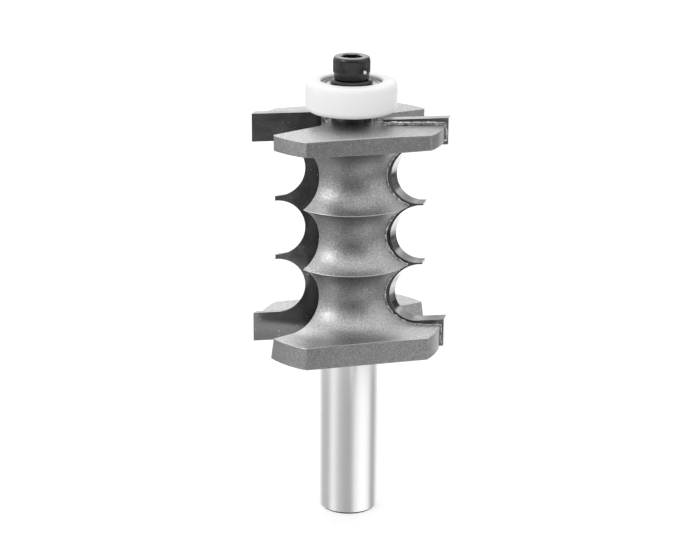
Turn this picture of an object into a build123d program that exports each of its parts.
"""Router bit that cuts three beads side by side, with a ball-bearing guide ring on top.

It stands on the end of its shank. The origin is the centre of that end, and +Z is up the axis.
The left blade's edge points along -X and the right blade's along +X. The bit cuts while it turns
anticlockwise as seen from above. Every length is in millimetres and every angle in degrees.
"""
from build123d import *
import math
import os

# Shank, ground round to fit a half-inch collet
shank_diameter = 12.7
shank_length = 38.1
shank_end_chamfer = 0.55
collar_width = 0.65

# Profile that the blade edges sweep, from the bottom land up to the top land
cutting_diameter = 41.275
cove_radius = 5.953
cove_count = 3
fin_thickness = 1.0
cove_centre_radius = 15.71
fin_tip_radius = 15.93
bottom_land = 6.3
top_land = 5.95
blade_start = -0.1

# Carbide blades and the braze behind them
blade_thickness = 2.1
blade_web = 3.32
hook_angle = 9.1
radial_relief_angle = 12.4
side_relief_angle = 9.0
braze_thickness = 0.25
braze_end_thickness = 0.33
braze_front_step = 0.3
braze_setback = 0.75

# Steel body, ground back from the blade edges so that only carbide meets the wood
body_radius = 20.4
cove_setback = 1.2
top_setback = 1.48
bottom_setback = 0.25
rim_draft = 0.15
top_cone_drop = 0.5
top_flat_radius = 5.0

# Flats and relieved rims on the flanges, and the chip gullets in front of the blades
flat_distance = 15.31
flat_angle = -74.8
rim_relief = 1.1
rim_centre_offset = 1.1
rim_centre_angle = -90.0
gullet_root_depth = 6.96
gullet_angle = 26.0
gullet_root_fillet = 4.5
gullet_reach = 30.0
gullet_run_out = 1.1
wing_corner_fillet = 0.5

# Socket-head screw that holds the guide bearing
screw_diameter = 4.72
screw_grip_in_body = 9.0
screw_tip_chamfer = 0.5
thread_clearance = 0.02
hole_spare_depth = 2.0
drill_point_angle = 118.0
head_diameter = 7.7
head_height = 4.83
head_waist_height = 1.8
head_waist_inset = 0.2
head_foot_chamfer = 0.25
head_crown_width = 0.55
head_crown_height = 0.45
hex_across_flats = 3.97
hex_depth = 2.4

# Spacer washer under the bearing and cone washer above it
spacer_radius = 4.25
spacer_height = 2.0
spacer_edge_chamfer = 0.35
spacer_nose_radius = 3.2
cone_washer_radius = 4.4
cone_washer_top_radius = 4.0
cone_washer_rim = 0.3
cone_washer_height = 0.85
screw_clearance = 0.03

# Guide bearing, half an inch across, inside its plastic ring
bearing_bore_diameter = 4.7625
bearing_outer_diameter = 12.7
bearing_width = 4.978
bearing_edge_chamfer = 0.2
ball_count = 7
ball_diameter = 2.3
ball_pitch_radius = 4.366
race_clearance = 0.07
inner_land_radius = 3.45
outer_land_radius = 5.3
shield_recess = 0.25
shield_thickness = 0.2
shield_gap = 0.12
shield_groove_radius = 5.6
cage_inner_radius = 3.95
cage_outer_radius = 4.78
cage_back_height = 1.7
cage_front_height = 0.35
pocket_clearance = 0.06
guide_ring_diameter = 19.05
guide_ring_height = 6.35
guide_ring_rounding = 1.1
guide_bore_chamfer = 0.25

# Sizes worked out from the ones above
shank_radius = shank_diameter / 2
cutting_radius = cutting_diameter / 2
cove_pitch = 2 * cove_radius + fin_thickness
blade_bottom_z = shank_length + blade_start
bottom_cove_z = blade_bottom_z + bottom_land + cove_radius
cove_heights = [bottom_cove_z + i * cove_pitch for i in range(cove_count)]
blade_top_z = cove_heights[-1] + cove_radius + top_land
body_bottom_z = blade_bottom_z + bottom_setback
body_rim_z = blade_top_z - top_setback
body_top_z = body_rim_z + top_cone_drop
rake_offset = cutting_radius * math.sin(math.radians(hook_angle))
cove_floor_radius = cove_centre_radius - cove_radius
blade_end_reach = math.sqrt(cove_floor_radius**2 - rake_offset**2) - blade_web
pocket_end_reach = blade_end_reach - braze_end_thickness
pocket_depth = blade_thickness + braze_thickness
radial_relief = blade_thickness * math.tan(math.radians(radial_relief_angle))
side_relief = blade_thickness * math.tan(math.radians(side_relief_angle))
under_rim_z = cove_heights[-1] + cove_radius + cove_setback + rim_draft
lower_rim_z = cove_heights[0] - cove_radius - cove_setback - rim_draft
rim_radius = body_radius - rim_relief
spacer_top_z = body_top_z + spacer_height
guide_ring_z = spacer_top_z
bearing_z = guide_ring_z + (guide_ring_height - bearing_width) / 2
bearing_mid_z = bearing_z + bearing_width / 2
bearing_top_z = bearing_z + bearing_width
head_bottom_z = bearing_top_z + cone_washer_height
screw_tip_z = body_top_z - screw_grip_in_body
hole_radius = screw_diameter / 2 + thread_clearance
washer_bore_radius = screw_diameter / 2 + screw_clearance


def reach(radius):
    """How far out along the rake plane a point lies that sweeps this radius."""
    return math.sqrt(radius**2 - rake_offset**2)


def back_reach(radius):
    """The same point on the blade's back, where the relief has brought it inward."""
    depth = rake_offset + blade_thickness
    return math.sqrt((radius - radial_relief)**2 - depth**2)


def turned(points):
    """Solid of revolution about Z from an outline of (radius, height) points."""
    outline = Plane.XZ * make_face(Polyline(*points, close=True))
    return revolve(outline, Axis.Z)


def half_turn(solid):
    """The same piece on the other wing of the bit."""
    return Rot(0, 0, 180) * solid


def cove_chain(centre, floor, half):
    """Chain of arcs down all the coves, from one crest between them to the next."""
    depth = centre - floor
    middle = centre - (depth**2 - half**2) / (2 * depth)
    crest = middle - math.sqrt((middle - floor)**2 - (cove_pitch / 2)**2)
    arcs = []
    start = (centre, cove_heights[-1] + half)
    for height in reversed(cove_heights):
        end = (crest, height - cove_pitch / 2)
        if height == cove_heights[0]:
            end = (centre, height - half)
        arcs.append(ThreePointArc(start, (floor, height), end))
        start = end
    return arcs


def body_blank():
    """Body as it leaves the lathe: shank, lower flange, coves and upper flange."""
    centre = cove_centre_radius
    half = cove_radius + cove_setback
    coves = cove_chain(centre, centre - half, half)
    upper = Polyline(
        (0, body_top_z),
        (top_flat_radius, body_top_z),
        (body_radius, body_rim_z),
        (body_radius, under_rim_z),
        (centre, cove_heights[-1] + half),
    )
    lower = Polyline(
        (centre, cove_heights[0] - half),
        (body_radius, lower_rim_z),
        (body_radius, body_bottom_z),
        (shank_radius + collar_width, body_bottom_z),
        (shank_radius, shank_length),
        (shank_radius, shank_end_chamfer),
        (shank_radius - shank_end_chamfer, 0),
        (0, 0),
        (0, body_top_z),
    )
    outline = Plane.XZ * make_face(Curve() + [upper, *coves, lower])
    return revolve(outline, Axis.Z)


def wing_plane(height=0.0):
    """Plan view of the left wing: X runs out along its rake plane and Y back from it."""
    hook = math.radians(hook_angle)
    outward = Vector(-math.cos(hook), -math.sin(hook), 0)
    foot = Vector(-math.sin(hook), math.cos(hook), 0) * rake_offset
    return Plane(origin=foot + Vector(0, 0, height), x_dir=outward, z_dir=(0, 0, -1))


def rake_plane():
    """Face of the left blade: X runs out to its edge, Y is up and Z is back into the blade."""
    hook = math.radians(hook_angle)
    outward = Vector(-math.cos(hook), -math.sin(hook), 0)
    backward = Vector(-math.sin(hook), math.cos(hook), 0)
    return Plane(origin=backward * rake_offset, x_dir=outward, z_dir=backward)


def wall_direction():
    """Way that the left gullet's far wall runs outward, seen from above."""
    outward = wing_plane().x_dir
    backward = outward.rotate(Axis.Z, -90)
    slope = math.radians(gullet_angle)
    return outward * math.cos(slope) - backward * math.sin(slope)


def run_out_wedge():
    """Steel left on the far wall where the gullet runs out through the lower flange."""
    root = wing_plane().from_local_coords(Vector(pocket_end_reach, -gullet_root_depth, 0))
    along = wall_direction()
    start = root - along * gullet_root_fillet
    section = Plane(origin=start, x_dir=along.rotate(Axis.Z, -90), z_dir=-along)
    corners = [
        (-gullet_run_out, lower_rim_z),
        (0, lower_rim_z),
        (gullet_run_out, body_bottom_z),
        (-gullet_run_out, body_bottom_z),
    ]
    wedge = make_face(Polyline(*corners, close=True))
    return extrude(section * wedge, -gullet_reach)


def gullet_plan():
    """Plan of what is milled away for the left blade: its pocket and its chip gullet."""
    run = gullet_reach - pocket_end_reach
    wall_end = -gullet_root_depth - run * math.tan(math.radians(gullet_angle))
    corners = [
        (gullet_reach, pocket_depth),
        (pocket_end_reach, pocket_depth),
        (pocket_end_reach, -gullet_root_depth),
        (gullet_reach, wall_end),
    ]
    plan = make_face(Polyline(*corners, close=True))
    root = plan.vertices().sort_by_distance((pocket_end_reach, -gullet_root_depth))[0]
    return wing_plane() * fillet(root, gullet_root_fillet)


def flat_plan():
    """Plan of what is milled off for the flat that crosses the front wing's flanges."""
    across = Pos(flat_distance + body_radius / 2, 0) * Rectangle(body_radius, 3 * body_radius)
    return Rot(0, 0, flat_angle) * across


def rim_centre():
    """Axis, seen from above, that the rims of the front wing are ground about."""
    angle = math.radians(rim_centre_angle)
    return Vector(math.cos(angle), math.sin(angle), 0) * rim_centre_offset


def rim_plan():
    """Plan of the flanges before milling, each wing ground so that it clears the cut."""
    side = 3 * body_radius
    front = Pos(rim_centre()) * Circle(rim_radius) & Pos(0, -side / 2) * Rectangle(side, side)
    return front + half_turn(front)


def screw_hole():
    """Tapped hole down the axis, drawn at the screw's own diameter."""
    depth = screw_grip_in_body + hole_spare_depth
    point = hole_radius / math.tan(math.radians(drill_point_angle / 2))
    return turned([
        (0, body_top_z + 1),
        (hole_radius, body_top_z + 1),
        (hole_radius, body_top_z - depth),
        (0, body_top_z - depth - point),
    ])


def rim_corner():
    """Point, seen from above, where the front wing's gullet wall runs out at its rim."""
    slope = math.radians(gullet_angle)
    along = Vector(math.cos(slope), -math.sin(slope), 0)
    root = Vector(pocket_end_reach, -gullet_root_depth, 0)
    start = root - wing_plane().to_local_coords(rim_centre())
    lead = start.dot(along)
    run = math.sqrt(lead**2 - start.dot(start) + rim_radius**2) - lead
    return wing_plane().from_local_coords(root + along * run)


def wing_plan():
    """Plan of the two finished wings, with their rim corners rounded."""
    plan = rim_plan()
    for cut in (gullet_plan(), flat_plan()):
        plan = plan - cut - half_turn(cut)
    vertices = plan.vertices()
    corners = [vertices.sort_by_distance(side * rim_corner())[0] for side in (1, -1)]
    return fillet(corners, wing_corner_fillet)


def milling_waste():
    """All that is milled off the head from above, down to the shank."""
    kept = run_out_wedge() & extrude(rim_plan(), body_top_z)
    plan = Pos(0, 0, shank_length) * (Circle(2 * body_radius) - wing_plan())
    waste = extrude(plan, body_top_z + 1 - shank_length)
    return waste - kept - half_turn(kept)


def cutter_body():
    """One piece of steel: shank, two flanges, the coves between them and the two wings."""
    return body_blank() - screw_hole() - milling_waste()


def blade_outline(place, relief):
    """Outline of a blade, with its radii placed on one face and its sides relieved."""
    tip = place(cutting_radius)
    fin = place(fin_tip_radius)
    centre = place(cove_centre_radius)
    floor = place(cove_floor_radius)
    half = cove_radius + relief
    corner = (tip, blade_top_z)
    pieces = []
    for height in reversed(cove_heights):
        start = (centre, height + half)
        end = (centre, height - half)
        pieces.append(Line(corner, (corner[0], start[1])))
        pieces.append(Line((corner[0], start[1]), start))
        pieces.append(ThreePointArc(start, (floor, height), end))
        corner = (fin, end[1])
        if height != cove_heights[0]:
            pieces.append(Line(end, corner))
    pieces.append(Polyline(
        end,
        (tip, end[1]),
        (tip, blade_bottom_z),
        (blade_end_reach, blade_bottom_z),
        (blade_end_reach, blade_top_z),
        (tip, blade_top_z),
    ))
    return make_face(Curve() + pieces)


def carbide_blade():
    """Left blade, ruled from its rake face to a smaller back that clears the cut."""
    front = rake_plane() * blade_outline(reach, 0)
    back = rake_plane().offset(blade_thickness) * blade_outline(back_reach, side_relief)
    return loft([front, back], ruled=True)


def braze_layer(blade):
    """Silver braze that fills the pocket behind the blade and at its inner end."""
    centre = back_reach(cove_centre_radius)
    floor = back_reach(cove_floor_radius) - braze_setback
    half = cove_radius + side_relief + braze_setback
    top = blade_top_z - braze_setback
    bottom = max(blade_bottom_z + braze_setback, body_bottom_z)
    outer = back_reach(cutting_radius) - braze_setback
    rim = Polyline(
        (centre, cove_heights[0] - half),
        (outer, cove_heights[0] - half),
        (outer, bottom),
        (pocket_end_reach, bottom),
        (pocket_end_reach, top),
        (outer, top),
        (outer, cove_heights[-1] + half),
        (centre, cove_heights[-1] + half),
    )
    face = make_face(Curve() + [rim, *cove_chain(centre, floor, half)])
    start = rake_plane().offset(braze_front_step)
    return extrude(start * face, pocket_depth - braze_front_step) - blade


def spacer_washer():
    """Black spacer: a broad disc with a nose that bears only on the inner ring."""
    return turned([
        (washer_bore_radius, body_top_z),
        (spacer_radius, body_top_z),
        (spacer_radius, spacer_top_z - spacer_edge_chamfer),
        (spacer_radius - spacer_edge_chamfer, spacer_top_z),
        (spacer_nose_radius, spacer_top_z),
        (spacer_nose_radius, bearing_z),
        (washer_bore_radius, bearing_z),
    ])


def cone_washer():
    """Black washer under the screw head, its upper side sloping up to the head."""
    return turned([
        (washer_bore_radius, bearing_top_z),
        (inner_land_radius - bearing_edge_chamfer, bearing_top_z),
        (cone_washer_radius, bearing_top_z + shield_gap),
        (cone_washer_radius, bearing_top_z + shield_gap + cone_washer_rim),
        (cone_washer_top_radius, head_bottom_z),
        (washer_bore_radius, head_bottom_z),
    ])


def ball_groove():
    """Ring-shaped space that the balls run in."""
    section = Plane.XZ * Pos(ball_pitch_radius, bearing_mid_z) * Circle(ball_diameter / 2 + race_clearance)
    return revolve(section, Axis.Z)


def inner_ring():
    """Inner ring of the bearing, clamped between the two washers."""
    bore = bearing_bore_diameter / 2
    chamfer_size = bearing_edge_chamfer
    ring = turned([
        (bore, bearing_z + chamfer_size),
        (bore + chamfer_size, bearing_z),
        (inner_land_radius - chamfer_size, bearing_z),
        (inner_land_radius, bearing_z + chamfer_size),
        (inner_land_radius, bearing_top_z - chamfer_size),
        (inner_land_radius - chamfer_size, bearing_top_z),
        (bore + chamfer_size, bearing_top_z),
        (bore, bearing_top_z - chamfer_size),
    ])
    return ring - ball_groove()


def outer_ring():
    """Outer ring of the bearing, with a step at each end that seats a shield."""
    outer = bearing_outer_diameter / 2
    chamfer_size = bearing_edge_chamfer
    step = shield_recess + shield_thickness
    ring = turned([
        (outer_land_radius, bearing_z + step),
        (shield_groove_radius, bearing_z + step),
        (shield_groove_radius, bearing_z),
        (outer - chamfer_size, bearing_z),
        (outer, bearing_z + chamfer_size),
        (outer, bearing_top_z - chamfer_size),
        (outer - chamfer_size, bearing_top_z),
        (shield_groove_radius, bearing_top_z),
        (shield_groove_radius, bearing_top_z - step),
        (outer_land_radius, bearing_top_z - step),
    ])
    return ring - ball_groove()


def shield(floor_z):
    """Thin steel shield that closes one side of the bearing."""
    inner = inner_land_radius + shield_gap
    return turned([
        (inner, floor_z),
        (shield_groove_radius, floor_z),
        (shield_groove_radius, floor_z + shield_thickness),
        (inner, floor_z + shield_thickness),
    ])


def around_the_bearing(piece):
    """Copies of a piece, one for each ball."""
    return [Rot(0, 0, 360 * i / ball_count) * piece for i in range(ball_count)]


def balls():
    """Steel balls, evenly spaced on their pitch circle."""
    ball = Pos(ball_pitch_radius, 0, bearing_mid_z) * Sphere(ball_diameter / 2)
    return Compound(children=around_the_bearing(ball))


def ball_cage():
    """Crown cage: a ring above the balls with a pocket open downward for each."""
    ring = turned([
        (cage_inner_radius, bearing_mid_z - cage_front_height),
        (cage_outer_radius, bearing_mid_z - cage_front_height),
        (cage_outer_radius, bearing_mid_z + cage_back_height),
        (cage_inner_radius, bearing_mid_z + cage_back_height),
    ])
    pocket = Pos(ball_pitch_radius, 0, bearing_mid_z) * Sphere(ball_diameter / 2 + pocket_clearance)
    return ring - around_the_bearing(pocket)


def guide_ring():
    """White plastic ring pressed on the bearing, which runs along the template."""
    bore = bearing_outer_diameter / 2
    top_z = guide_ring_z + guide_ring_height
    radius = guide_ring_diameter / 2
    ring = turned([
        (bore, guide_ring_z),
        (radius, guide_ring_z),
        (radius, top_z),
        (bore, top_z),
    ])
    rims = ring.edges().filter_by(GeomType.CIRCLE)
    ring = fillet([e for e in rims if e.radius > bore + 0.01], guide_ring_rounding)
    mouths = ring.edges().filter_by(GeomType.CIRCLE)
    return chamfer([e for e in mouths if e.radius < bore + 0.01], guide_bore_chamfer)


def cap_screw():
    """Socket-head screw: round head with a hexagon socket, and a plain shank for its thread."""
    radius = head_diameter / 2
    foot = radius - head_waist_inset
    top_z = head_bottom_z + head_height
    shank = screw_diameter / 2
    blank = turned([
        (0, screw_tip_z),
        (shank - screw_tip_chamfer, screw_tip_z),
        (shank, screw_tip_z + screw_tip_chamfer),
        (shank, head_bottom_z),
        (foot - head_foot_chamfer, head_bottom_z),
        (foot, head_bottom_z + head_foot_chamfer),
        (radius, head_bottom_z + head_waist_height),
        (radius, top_z - head_crown_height),
        (radius - head_crown_width / 3, top_z - head_crown_height / 3),
        (radius - head_crown_width, top_z),
        (0, top_z),
    ])
    corner_radius = hex_across_flats / 2 / math.cos(math.radians(30))
    hexagon = Pos(0, 0, top_z) * RegularPolygon(corner_radius, 6)
    socket = extrude(hexagon, -hex_depth)
    drill_depth = corner_radius / math.tan(math.radians(drill_point_angle / 2))
    point = turned([
        (0, top_z - hex_depth),
        (hex_across_flats / 2, top_z - hex_depth),
        (0, top_z - hex_depth - drill_depth),
    ])
    return blank - socket - point


def build():
    """All the pieces by name, in their places."""
    blade = carbide_blade()
    braze = braze_layer(blade)
    return {
        "cutter_body": cutter_body(),
        "carbide_blade_left": blade,
        "carbide_blade_right": half_turn(blade),
        "braze_layer_left": braze,
        "braze_layer_right": half_turn(braze),
        "spacer_washer": spacer_washer(),
        "bearing_inner_ring": inner_ring(),
        "bearing_outer_ring": outer_ring(),
        "bearing_balls": balls(),
        "ball_cage": ball_cage(),
        "bearing_shield_lower": shield(bearing_z + shield_recess),
        "bearing_shield_upper": shield(bearing_top_z - shield_recess - shield_thickness),
        "guide_ring": guide_ring(),
        "cone_washer": cone_washer(),
        "cap_screw": cap_screw(),
    }


os.makedirs("parts", exist_ok=True)
for name, piece in build().items():
    export_step(piece, f"parts/{name}.step")
    print(name, round(piece.volume, 2))
